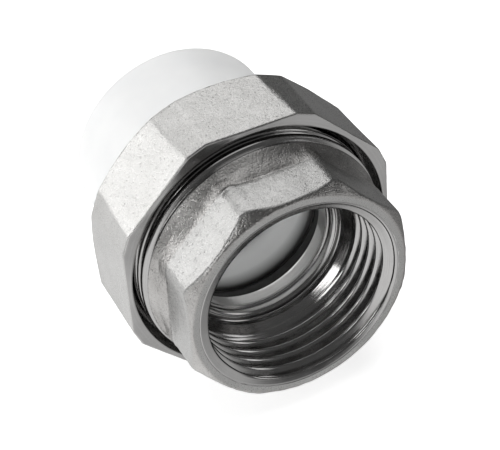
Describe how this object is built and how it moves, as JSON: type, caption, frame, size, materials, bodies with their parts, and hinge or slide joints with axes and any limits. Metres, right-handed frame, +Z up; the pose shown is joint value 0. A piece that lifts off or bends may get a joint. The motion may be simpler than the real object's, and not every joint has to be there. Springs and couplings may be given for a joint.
{
  "type": "pipe union fitting",
  "caption": "Demountable pipe union: plated brass tail with an internal pipe thread, an octagonal union nut, a flat gasket and a white plastic fusion socket.",
  "frame": {"origin": "on the axis of the fitting, halfway along its length", "axes": "+Y along the axis from the threaded mouth to the plastic socket, +Z up from the nut flat that it rests on to the opposite flat, +X to the right"},
  "size_m": [0.046, 0.048, 0.046],
  "materials": {
    "plated_tail": "nickel-plated, blasted flats and machined rim",
    "plated_nut": "nickel-plated, blasted flats and machined faces",
    "black_rubber": "matte",
    "white_plastic": "satin"
  },
  "bodies": {
    "tail": {"threaded_tail": "plated_tail"},
    "socket_end": {"gasket": "black_rubber", "fusion_socket": "white_plastic"},
    "nut": {"union_nut": "plated_nut"}
  },
  "joints": [
    {"name": "socket_draw", "type": "slide", "parent": "tail", "child": "socket_end", "axis": [0, 1, 0], "range_m": [0, 0.003]},
    {"name": "nut_turn", "type": "hinge", "parent": "socket_end", "child": "nut", "pos_m": [0, -0.0037, 0], "axis": [0, 1, 0], "range_deg": [0, 720]}
  ],
  "couplings": [
    {"joint": "socket_draw", "follows": "nut_turn", "m_per_rad": 0.00023873}
  ]
}
